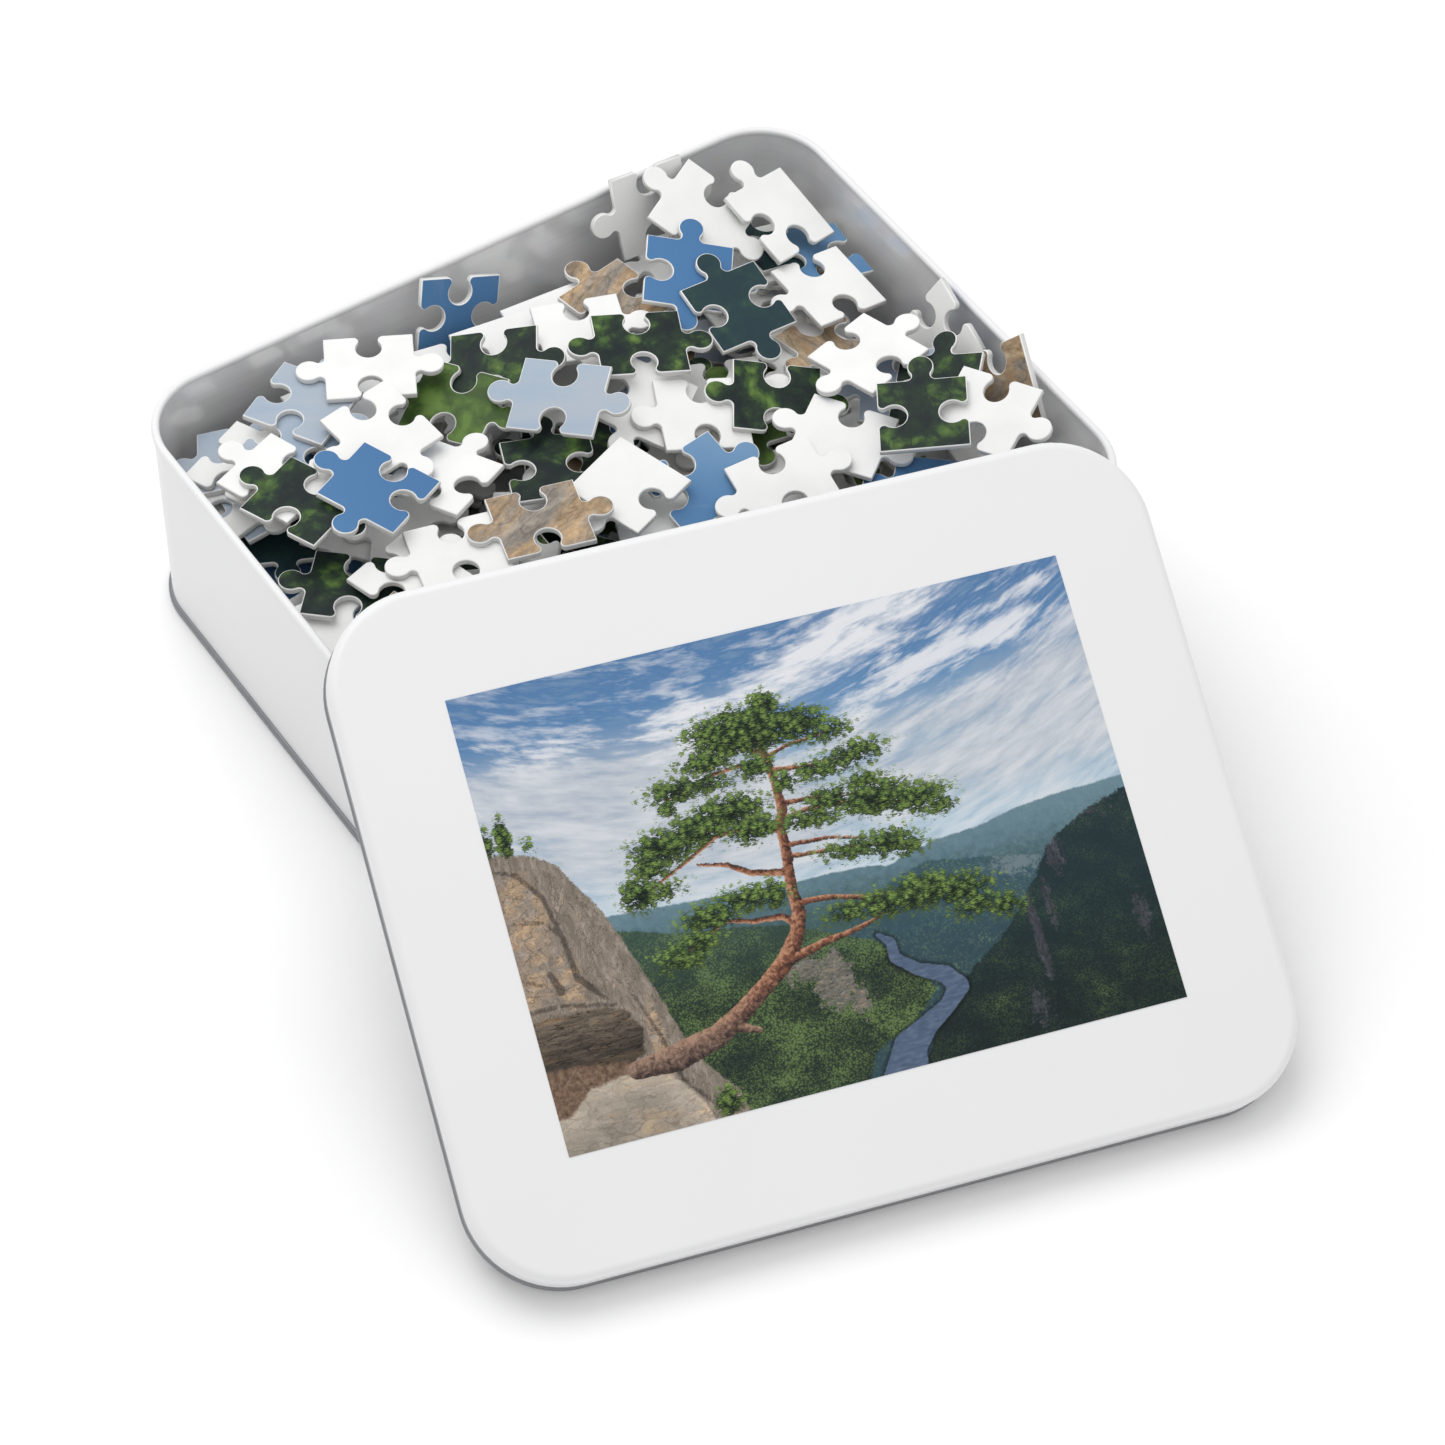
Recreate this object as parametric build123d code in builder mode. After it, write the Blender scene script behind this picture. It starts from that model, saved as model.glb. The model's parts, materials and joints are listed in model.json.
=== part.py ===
from build123d import *
import math
import os
import random

import numpy as np

os.makedirs("parts", exist_ok=True)

# A boxed jigsaw puzzle: a deep rectangular tin heaped with loose pieces, with its lid leaning on it.
# Origin at the middle of the tin's base, on the table. Z is up, X runs along the tin's long side.

# Tin
TIN_LONG = 222.0
TIN_WIDE = 180.0
TIN_HIGH = 68.5
TIN_CORNER = 22.0
SHEET = 0.6
RIM_WIRE = 1.2
SEAM_HIGH = 2.6
SEAM_OUT = 1.1
SEAM_IN = 1.4
PANEL_UNDER = 1.0
PANEL_THICK = 0.7

# Lid
LID_LONG = 227.4
LID_WIDE = 186.4
LID_DEEP = 12.0
LID_CORNER = 26.0
LID_SHOULDER = 2.6
CURL_WIRE = 0.9
PICTURE_LONG = 169.3
PICTURE_WIDE = 123.3
PICTURE_THICK = 0.15

# The lid leans with its front edge on the table and its back edge over the heap
LID_MIDDLE = Vector(-33.5, -140.2, 55.95)
LID_ALONG = Vector(0.9618, -0.2737, 0.0001)
LID_UP = Vector(-0.1285, -0.4514, 0.8830)

# Puzzle pieces
PIECE_LONG = 25.4
PIECE_WIDE = 23.6
BOARD = 1.9
HEAD = 3.7
HEAD_OUT = 4.5
NECK_FILLET = 1.5
GAP = 0.3
LEVELLING = 8.0

# The heap of loose pieces
FLOOR = PANEL_UNDER + PANEL_THICK
GRID = 1.0
WALL_ROOM = 1.9
SEED = 12


def ring(long, wide, corner, thick):
    """Draw a rounded rectangular ring, measured over its outside."""
    RectangleRounded(long, wide, corner)
    RectangleRounded(long - 2 * thick, wide - 2 * thick, corner - thick, mode=Mode.SUBTRACT)


def finish(builder, name):
    """Label a finished piece and write it."""
    builder.part.label = name
    export_step(builder.part, f"parts/{name}.step")


# ---------------------------------------------------------------- the tin

SEAM_LONG = TIN_LONG + 2 * SEAM_OUT
SEAM_WIDE = TIN_WIDE + 2 * SEAM_OUT

with BuildPart() as tin_base:
    with BuildSketch():
        ring(SEAM_LONG, SEAM_WIDE, TIN_CORNER + SEAM_OUT, SEAM_OUT + SEAM_IN)
    extrude(amount=SEAM_HIGH)
    fillet(tin_base.faces().sort_by(Axis.Z)[-1].outer_wire().edges(), 0.9)
    fillet(tin_base.faces().sort_by(Axis.Z)[0].outer_wire().edges(), 0.6)
    with BuildSketch(Plane.XY.offset(PANEL_UNDER)):
        RectangleRounded(TIN_LONG - SEAM_IN, TIN_WIDE - SEAM_IN, TIN_CORNER - SEAM_IN / 2)
    extrude(amount=PANEL_THICK)
finish(tin_base, "tin_base")

# The wall's top edge is rolled over a wire into a round bead
with BuildPart() as tin_wall:
    with BuildSketch(Plane.XY.offset(TIN_HIGH - 2 * RIM_WIRE)):
        ring(TIN_LONG + RIM_WIRE, TIN_WIDE + RIM_WIRE, TIN_CORNER + RIM_WIRE / 2, 2 * RIM_WIRE)
    extrude(amount=2 * RIM_WIRE)
    bead_ends = tin_wall.faces().filter_by(Axis.Z)
    fillet([edge for face in bead_ends for edge in face.edges()], 0.9 * RIM_WIRE)
    with BuildSketch(Plane.XY.offset(SEAM_HIGH)):
        ring(TIN_LONG, TIN_WIDE, TIN_CORNER, SHEET)
    extrude(amount=TIN_HIGH - RIM_WIRE - SEAM_HIGH)
finish(tin_wall, "tin_wall")

# ---------------------------------------------------------------- the lid

lid_plane = Plane(origin=LID_MIDDLE, x_dir=LID_ALONG, z_dir=LID_UP)
lid_edge_plane = lid_plane.offset(-LID_DEEP)


def face_at(builder, point):
    """Find the face of a piece whose middle is at the point."""
    return builder.faces().sort_by_distance(point)[0]


with BuildPart() as lid_shell:
    with BuildSketch(lid_edge_plane):
        RectangleRounded(LID_LONG, LID_WIDE, LID_CORNER)
    extrude(amount=LID_DEEP)
    fillet(face_at(lid_shell, LID_MIDDLE).outer_wire().edges(), LID_SHOULDER)
    offset(amount=-SHEET, openings=face_at(lid_shell, lid_edge_plane.origin))
finish(lid_shell, "lid_shell")

# The lid's raw edge is rolled into a bead just below the skirt
with BuildPart() as lid_curl:
    with BuildSketch(lid_edge_plane.offset(-2 * CURL_WIRE)):
        ring(LID_LONG + CURL_WIRE, LID_WIDE + CURL_WIRE, LID_CORNER + CURL_WIRE / 2, 2 * CURL_WIRE)
    extrude(amount=2 * CURL_WIRE)
    curl_ends = lid_curl.faces().filter_by(lid_plane)
    fillet([edge for face in curl_ends for edge in face.edges()], 0.9 * CURL_WIRE)
finish(lid_curl, "lid_curl")

with BuildPart() as lid_picture:
    with BuildSketch(lid_plane):
        Rectangle(PICTURE_LONG, PICTURE_WIDE)
    extrude(amount=PICTURE_THICK)
finish(lid_picture, "lid_picture")

# ---------------------------------------------------------------- the cut of a piece

# Each side is a knob K, a socket S or the straight border B, in the order right, top, left, bottom.
# CORNERS run the same way round, from the right side's lower end.
CORNERS = ((1, -1), (1, 1), (-1, 1), (-1, -1))
SIDES = ((1, 0), (0, 1), (-1, 0), (0, -1))


def side(start, end, cut):
    """Draw one side of a piece from corner to corner."""
    if cut == "B":
        Line(start, end)
        return
    along = (end - start).normalized()
    outward = Vector(along.Y, -along.X) * (1 if cut == "K" else -1)
    middle = (start + end) / 2
    reach = math.sqrt((HEAD + NECK_FILLET) ** 2 - (HEAD_OUT - NECK_FILLET) ** 2)
    turn = math.atan2(HEAD_OUT - NECK_FILLET, reach)

    def at(a, o):
        return middle + along * a + outward * o

    def on_fillet(angle, way):
        return at(way * (NECK_FILLET * math.cos(angle) - reach), NECK_FILLET * (1 + math.sin(angle)))

    foot, waist, neck = (on_fillet(a, 1) for a in (-math.pi / 2, (turn - math.pi / 2) / 2, turn))
    neck_2, waist_2, foot_2 = (on_fillet(a, -1) for a in (turn, (turn - math.pi / 2) / 2, -math.pi / 2))
    Line(start, foot)
    ThreePointArc(foot, waist, neck)
    ThreePointArc(neck, at(0, HEAD_OUT + HEAD), neck_2)
    ThreePointArc(neck_2, waist_2, foot_2)
    Line(foot_2, end)


def outline(cuts):
    """Draw the four sides of a piece around its middle."""
    for k, cut in enumerate(cuts):
        start, end = (Vector(x * PIECE_LONG / 2, y * PIECE_WIDE / 2)
                      for x, y in (CORNERS[k], CORNERS[(k + 1) % 4]))
        side(start, end, cut)


# ---------------------------------------------------------------- how a piece comes to rest

ROOM_X = TIN_LONG / 2 - WALL_ROOM
ROOM_Y = TIN_WIDE / 2 - WALL_ROOM
ROOM_CORNER = TIN_CORNER - WALL_ROOM
PIECE_REACH = 23.0
grid_x, grid_y = np.meshgrid(np.arange(-ROOM_X - PIECE_REACH, ROOM_X + PIECE_REACH, GRID),
                             np.arange(-ROOM_Y - PIECE_REACH, ROOM_Y + PIECE_REACH, GRID), indexing="ij")
corner_x = np.maximum(abs(grid_x) - ROOM_X + ROOM_CORNER, 0)
corner_y = np.maximum(abs(grid_y) - ROOM_Y + ROOM_CORNER, 0)
in_tin = np.hypot(corner_x, corner_y) <= ROOM_CORNER
heights = np.full(grid_x.shape, FLOOR)
slopes = [0.06 * k for k in range(-9, 10)]
lean_x, lean_y = (s.ravel() for s in np.meshgrid(slopes, slopes))


def covered(u, v, cuts, room=0.8):
    """Tell which points, given along and across a piece, lie on it or within room of it."""
    on = (abs(u) <= PIECE_LONG / 2 + room) & (abs(v) <= PIECE_WIDE / 2 + room)
    for (x, y), cut in zip(SIDES, cuts):
        out = HEAD_OUT if cut == "K" else -HEAD_OUT
        from_head = np.hypot(u - x * (PIECE_LONG / 2 + out), v - y * (PIECE_WIDE / 2 + out))
        if cut == "K":
            on |= from_head <= HEAD + room
        if cut == "S":
            on &= from_head > HEAD - room
    return on


def shadow(east, north, yaw, a, b, cuts):
    """Tell which points lie under a piece of slopes a and b, and give its long and upward directions."""
    c, s = math.cos(math.radians(yaw)), math.sin(math.radians(yaw))
    along = Vector(c, s, a * c + b * s).normalized()
    normal = Vector(-a, -b, 1).normalized()
    across = normal.cross(along)
    on = np.zeros(east.shape, dtype=bool)
    for rise in (0, BOARD):
        e, n = east - rise * normal.X, north - rise * normal.Y
        up = a * e + b * n
        on |= covered(e * along.X + n * along.Y + up * along.Z, e * across.X + n * across.Y + up * across.Z, cuts)
    return on, along, normal


def settle(x, y, yaw, cuts, ceiling=200.0, lean=None):
    """Lower a piece onto the heap until it rests, then raise the heights under it.

    The piece takes the slope that lets its middle sink lowest, or keeps the lean it is given.
    Its plane is returned, or None where it would touch a wall or stand above the ceiling.
    """
    i = np.searchsorted(grid_x[:, 0], (x - PIECE_REACH, x + PIECE_REACH))
    j = np.searchsorted(grid_y[0], (y - PIECE_REACH, y + PIECE_REACH))
    here = (slice(*i), slice(*j))
    east, north = grid_x[here] - x, grid_y[here] - y
    a, b = lean or (0, 0)
    on = shadow(east, north, yaw, a, b, cuts)[0]
    if not in_tin[here][on].all():
        return None
    if not lean:
        rest = (heights[here][on] - np.outer(lean_x, east[on]) - np.outer(lean_y, north[on])).max(axis=1)
        best = np.argmin(rest + LEVELLING * np.hypot(lean_x, lean_y))
        a, b = lean_x[best], lean_y[best]
    on, along, normal = shadow(east, north, yaw, a, b, cuts)
    slope = a * east[on] + b * north[on]
    z = (heights[here][on] - slope).max() + GAP
    if z > ceiling:
        return None
    heights[here][on] = z + slope + BOARD * math.hypot(a, b, 1)
    return Plane(origin=(x, y, z), x_dir=along, z_dir=normal)


# ---------------------------------------------------------------- the buried pieces

BURIED = {
    "buried_pieces_a": "KSKS", "buried_pieces_b": "KKSS", "buried_pieces_c": "KKKS",
    "buried_pieces_d": "SSSK", "buried_pieces_e": "KBKS", "buried_pieces_f": "KSBB",
}
BURIED_TOP = 50.0
BURIED_DROP = 4.0
WALL_TOP = 52.0
WALL_TURN = 8.0
UNDER_LID_TOP = 59.0
UNDER_LID_DROP = 6.0
UNDER_LID = -50.0
TRIES = 70

dice = random.Random(SEED)
planes = {name: [] for name in BURIED}


def tip_in(top, drop, back=ROOM_Y):
    """Let pieces fall at random until the heap reaches its top, which drops towards the walls."""
    misses = 0
    while misses < TRIES:
        name = dice.choice(list(BURIED))
        x, y = dice.uniform(-ROOM_X, ROOM_X), dice.uniform(-ROOM_Y, back)
        edge = max(abs(x) / ROOM_X, abs(y) / ROOM_Y)
        plane = settle(x, y, dice.uniform(0, 360), BURIED[name], top - drop * edge ** 2)
        misses += 1
        if plane:
            planes[name].append(plane)
            misses = 0


def line_walls(top):
    """Lay pieces square to the walls, close beside them, until the heap reaches its top there."""
    misses = 0
    while misses < 2 * TRIES:
        name = dice.choice(list(BURIED))
        x, y = dice.uniform(-ROOM_X, ROOM_X), dice.uniform(-ROOM_Y, ROOM_Y)
        inset = dice.uniform(PIECE_WIDE / 2, PIECE_WIDE)
        if dice.random() < 0.5:
            x = dice.choice((-1, 1)) * (ROOM_X - inset)
        else:
            y = dice.choice((-1, 1)) * (ROOM_Y - inset)
        yaw = 90 * dice.randrange(4) + dice.uniform(-WALL_TURN, WALL_TURN)
        plane = settle(x, y, yaw, BURIED[name], top)
        misses += 1
        if plane:
            planes[name].append(plane)
            misses = 0



# ---------------------------------------------------------------- the pieces that show

# From the lowest to the highest: place along and across the tin, turn, cut, and lean where it has one
SHOWN = {
    "sky_piece_leaning": (-9, 80, -8, "SSSK", (0.0, 2.4)),
    "back_piece_back_wall": (58, 80, -98, "SKSK", (0.1, 2.4)),
    "back_piece_right_wall": (102, -7, -95, "KSSB", (2.4, 0.1)),
    "rock_piece_right_wall": (102, -38, -106, "SBSK", (2.4, 0.0)),
    "sky_piece_corner": (-88, 66, -29, "SSKS"),
    "back_piece_left_wall": (-90, 61, -72, "KKSS"),
    "cloud_piece_left": (-78, 54, -62, "SKSS"),
    "back_piece_left_low": (-88, 44, -70, "KSKS"),
    "forest_piece_left_wall": (-88, 5, -42, "KSKS"),
    "rock_piece_left": (-87, -20, -70, "SKSK"),
    "back_piece_stack_a": (-16, 61, -8, "KSKS"),
    "back_piece_stack_b": (13, 60, -8, "KBKS"),
    "rock_piece_middle": (30, 54, -80, "KSKS"),
    "back_piece_stack_c": (-6, 58, -12, "SBSK"),
    "back_piece_stack_d": (14, 48, -20, "KSKK"),
    "forest_piece_under": (-14, 50, -35, "KSKS"),
    "rock_piece_right": (78, 15, -74, "KSSK"),
    "sky_piece_low": (66, -54, -43, "KBKS"),
    "sky_piece_right": (82, -16, -41, "KSKS"),
    "forest_piece_right_low": (85, -27, -49, "SKSK"),
    "back_piece_right_low": (88, -46, -65, "KSKS"),
    "back_piece_low_a": (38, 14, -30, "KSKK"),
    "back_piece_low_b": (14, 17, -53, "KKSK"),
    "back_piece_low_c": (26, 4, -22, "KSKS"),
    "sky_piece_middle": (11, -16, 4, "KSSB"),
    "back_piece_left_front": (-75, -4, -74, "KKSS"),
    "back_piece_front": (-60, -5, -15, "KSKS"),
    "back_piece_far": (67, 66, -59, "KSKS"),
    "sky_piece_back": (50, 48, -35, "KKSK"),
    "foliage_piece": (-30, 46, -59, "KSKS"),
    "forest_piece_small": (-20, 11, -22, "SKSK"),
    "back_piece_ridge": (-49, 21, -65, "SKSS"),
    "forest_piece_left": (-88, 31, -67, "KSKS"),
    "sky_piece_back_left": (-68, 65, -60, "KKSS"),
    "back_piece_back_left": (-46, 65, -28, "KSKS"),
    "back_piece_left": (-56, 42, -82, "KSSK"),
    "sky_piece_left": (-69, 22, -65, "SSKK"),
    "forest_piece_right": (47, -2, -32, "KSKS"),
    "forest_piece_middle": (22, 30, -24, "KSKS"),
    "back_piece_right": (54, -25, -54, "KSKB"),
    "cloud_piece": (-8, 25, -48, "KSKS"),
    "back_piece_back_edge": (87, 30, -89, "SBSK"),
    "back_piece_back_corner": (87, 56, -81, "SBKS"),
    "dark_forest_piece": (56, 31, 0, "SKSK"),
    "back_piece_right_top": (76, -6, -78, "SKSK"),
    "forest_piece_front": (73, -37, -33, "SKSB"),
    "back_piece_middle": (30, -31, -8, "KSKS"),
    "back_piece_corner": (-7, -9, -72, "SBBK"),
    "rock_piece": (-36, -9, -16, "KSKS"),
}

shown_planes = {}


def lay_out(leaning):
    """Lay the pieces that show: those that lean on a wall, or all the others."""
    for name, (x, y, yaw, cuts, *lean) in SHOWN.items():
        if bool(lean) == leaning:
            shown_planes[name] = settle(x, y, yaw, cuts, lean=lean[0] if lean else None)


tip_in(BURIED_TOP, BURIED_DROP)
lay_out(leaning=True)
line_walls(WALL_TOP)
lay_out(leaning=False)
tip_in(UNDER_LID_TOP, UNDER_LID_DROP, back=UNDER_LID)

for name, cuts in BURIED.items():
    with BuildPart() as buried:
        with BuildSketch(*planes[name]):
            with BuildLine():
                outline(cuts)
            make_face()
        extrude(amount=BOARD)
    finish(buried, name)

for name, plane in shown_planes.items():
    with BuildPart() as shown:
        with BuildSketch(plane):
            with BuildLine():
                outline(SHOWN[name][3])
            make_face()
        extrude(amount=BOARD)
    finish(shown, name)
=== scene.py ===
import json
import math
import random

import bmesh
import bpy
import numpy as np
from bpy.props import FloatProperty, FloatVectorProperty, IntProperty, PointerProperty
from mathutils import Matrix, Vector


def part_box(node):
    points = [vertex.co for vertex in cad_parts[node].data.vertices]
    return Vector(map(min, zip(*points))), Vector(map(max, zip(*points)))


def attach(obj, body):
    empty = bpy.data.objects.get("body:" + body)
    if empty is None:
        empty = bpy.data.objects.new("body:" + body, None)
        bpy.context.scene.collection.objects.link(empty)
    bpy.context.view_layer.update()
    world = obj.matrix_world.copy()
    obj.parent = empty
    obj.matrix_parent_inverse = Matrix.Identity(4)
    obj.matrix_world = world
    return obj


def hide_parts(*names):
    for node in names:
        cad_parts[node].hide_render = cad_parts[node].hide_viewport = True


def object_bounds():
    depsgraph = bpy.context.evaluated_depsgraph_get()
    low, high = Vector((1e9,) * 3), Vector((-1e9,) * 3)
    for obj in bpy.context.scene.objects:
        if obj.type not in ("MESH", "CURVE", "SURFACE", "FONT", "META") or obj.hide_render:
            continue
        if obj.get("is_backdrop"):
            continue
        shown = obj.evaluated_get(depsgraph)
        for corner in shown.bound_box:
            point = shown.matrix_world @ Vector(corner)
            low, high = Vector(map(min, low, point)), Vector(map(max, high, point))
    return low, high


bl_info = {
    "name": "Boxed jigsaw puzzle",
    "version": (1, 0, 0),
    "blender": (4, 5, 0),
    "location": "3D View > Sidebar > Puzzle",
    "description": "Finishes a puzzle tin, its printed lid and its heap of loose pieces",
    "category": "Object",
}

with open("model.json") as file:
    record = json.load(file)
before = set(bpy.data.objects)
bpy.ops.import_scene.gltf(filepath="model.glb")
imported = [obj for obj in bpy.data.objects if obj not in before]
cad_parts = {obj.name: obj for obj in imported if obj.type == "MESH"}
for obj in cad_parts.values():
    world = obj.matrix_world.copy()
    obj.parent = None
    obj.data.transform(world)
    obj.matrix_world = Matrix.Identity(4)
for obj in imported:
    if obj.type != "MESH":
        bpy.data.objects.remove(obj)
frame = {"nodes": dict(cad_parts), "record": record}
NODES = frame["nodes"]
BODIES = frame["record"]["behaviour"]["bodies"]
BODY_OF = {node: body for body, nodes in BODIES.items() for node in nodes}
TIN_LOW, TIN_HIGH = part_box("tin_wall")
MM = 0.001

# The print that a loose piece shows, by the first word of its node; the others lie with their white backs up
PRINTS = {"sky": "Sky", "cloud": "Cloud", "forest": "Forest", "dark": "DarkForest", "foliage": "Foliage",
          "rock": "Rock"}
# Pieces of sky that show thin cloud
PALE_SKY = ("sky_piece_corner", "sky_piece_back_left", "sky_piece_right")
# Each print's slot, and the part of the picture that it may come from, in centimetres
SOURCES = {
    "Sky": ("board_sky", (2, 9.6, 15, 12.6)), "Cloud": ("board_cloud", (9, 7.2, 16, 9.5)),
    "Forest": ("board_forest", (4, 1, 9, 4)), "DarkForest": ("board_dark_forest", (11, 0.5, 16, 3)),
    "Foliage": ("board_foliage", (4, 7, 8, 9)), "Rock": ("board_rock", (0.5, 3, 2.5, 7)),
}
# Share of the hidden pieces that lie with their print up
PRINT_UP = 0.35
# Name of the map that puts the picture on a piece
SHEET = "print"
# Depth of the rolled rim, whose inside is enamelled too
RIM_DEPTH = 2.5 * MM
MERGE_WITHIN = 0.002 * MM
CREASE = math.radians(32)
# Middle of the heap and the lid, where the lights and the camera point
AIM = Vector((-0.0179, -0.0723, 0.030))
# Each lamp's name, place, size and share of the light
LAMPS = (("Overhead", (-0.1, 0.45, 1.15), 1.1, 1.0), ("Front", (0.0, -1.3, 1.3), 1.2, 0.3))


def rgb(*display):
    """Turn a display colour from 0 to 255 into the linear colour that materials take."""
    return tuple((c / 255 / 12.92) if c <= 10 else ((c / 255 + 0.055) / 1.055) ** 2.4 for c in display)


def color(name, about, value):
    """Declare a colour that a user may change."""
    return FloatVectorProperty(name=name, description=about, subtype="COLOR", size=3, min=0, max=1,
                               default=rgb(*value))


# ------------------------------------------------------------------ settings


class TinSettings(bpy.types.PropertyGroup):
    enamel: color("Enamel", "White enamel on the outside of the tin and on the lid", (231, 231, 232))
    tinplate: color("Tinplate", "Bare metal inside the tin", (248, 248, 249))
    seam: color("Seam", "Bare metal of the base seam", (142, 144, 148))
    curl: color("Curl", "Bare metal of the lid's curled edge", (152, 153, 156))
    # Bare shade band: the lower skirt above the curl takes the curl's grey bare metal; it is made this tall
    # as painted shade for the down-facing skirt
    bare_band: FloatProperty(name="Bare shade band",
                             description="Height of the skirt left bare above the lid's curled edge",
                             unit="LENGTH", default=3.4 * MM)
    enamel_roughness: FloatProperty(name="Enamel roughness", description="Gloss of the enamel", min=0, max=1,
                                    default=0.4)


class PieceSettings(bpy.types.PropertyGroup):
    back: color("Back", "White paper on the back of the board", (238, 238, 237))
    edge: color("Edge", "Cut edge of the board", (226, 226, 224))
    rounding: FloatProperty(name="Rounding", description="How far the die rounds the rims of a piece",
                            unit="LENGTH", default=0.28 * MM, min=0, soft_max=0.001)
    enlarged: FloatProperty(name="Enlargement", description="Size of the puzzle's picture over the lid's",
                            default=3.0)
    seed: IntProperty(name="Seed", description="Chooses which part of the picture each piece shows",
                      default=5)


class PictureSettings(bpy.types.PropertyGroup):
    sky_high: color("High sky", "Sky at the top of the picture", (70, 113, 159))
    sky_low: color("Low sky", "Sky at the horizon", (188, 204, 214))
    cloud: color("Cloud", "Sunlit cloud", (220, 222, 226))
    crown_dark: color("Dark crowns", "Shaded forest", (26, 40, 36))
    crown_light: color("Light crowns", "Sunlit forest", (98, 120, 70))
    water: color("Water", "River", (74, 89, 112))
    stone: color("Stone", "Weathered stone", (150, 142, 132))
    stone_warm: color("Warm stone", "Fresh face of the cliff", (184, 156, 122))
    bark: color("Bark", "Sunlit bark of the pine", (190, 142, 112))
    needles: color("Needles", "Sunlit needles of the pine", (130, 158, 82))
    columns: IntProperty(name="Columns", description="Divisions along the printed sheet", default=250)


class StageSettings(bpy.types.PropertyGroup):
    floor: color("Floor", "Plain pale table", (250, 250, 250))
    light: FloatProperty(name="Light", description="Strength of the soft light overhead", unit="POWER",
                         default=6.8)
    room: FloatProperty(name="Room", description="Strength of the even light of the room", default=0.76)
    lens: FloatProperty(name="Lens", description="Focal length of the camera", unit="CAMERA", default=116.3)
    distance: FloatProperty(name="Distance", description="From the camera to the middle of the heap",
                            unit="LENGTH", default=1.2816)
    turn: FloatProperty(name="Turn", description="Camera's turn from the tin's front", subtype="ANGLE",
                        default=math.radians(-34.2))
    rise: FloatProperty(name="Rise", description="Camera's height above the table", subtype="ANGLE",
                        default=math.radians(49.9))
    roll: FloatProperty(name="Roll", description="Camera's lean", subtype="ANGLE", default=math.radians(0.59))


# ------------------------------------------------------------------ material tools


class Value:
    """A number, colour or vector on its way through a material. Reckoning with it adds the nodes."""

    def __init__(self, paint, socket):
        self.paint = paint
        self.socket = socket

    def __add__(self, other):
        return self.paint.maths("ADD", self, other)

    def __sub__(self, other):
        return self.paint.maths("SUBTRACT", self, other)

    def __mul__(self, other):
        return self.paint.maths("MULTIPLY", self, other)

    def __rsub__(self, other):
        return self.paint.maths("SUBTRACT", other, self)

    __radd__ = __add__
    __rmul__ = __mul__


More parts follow.
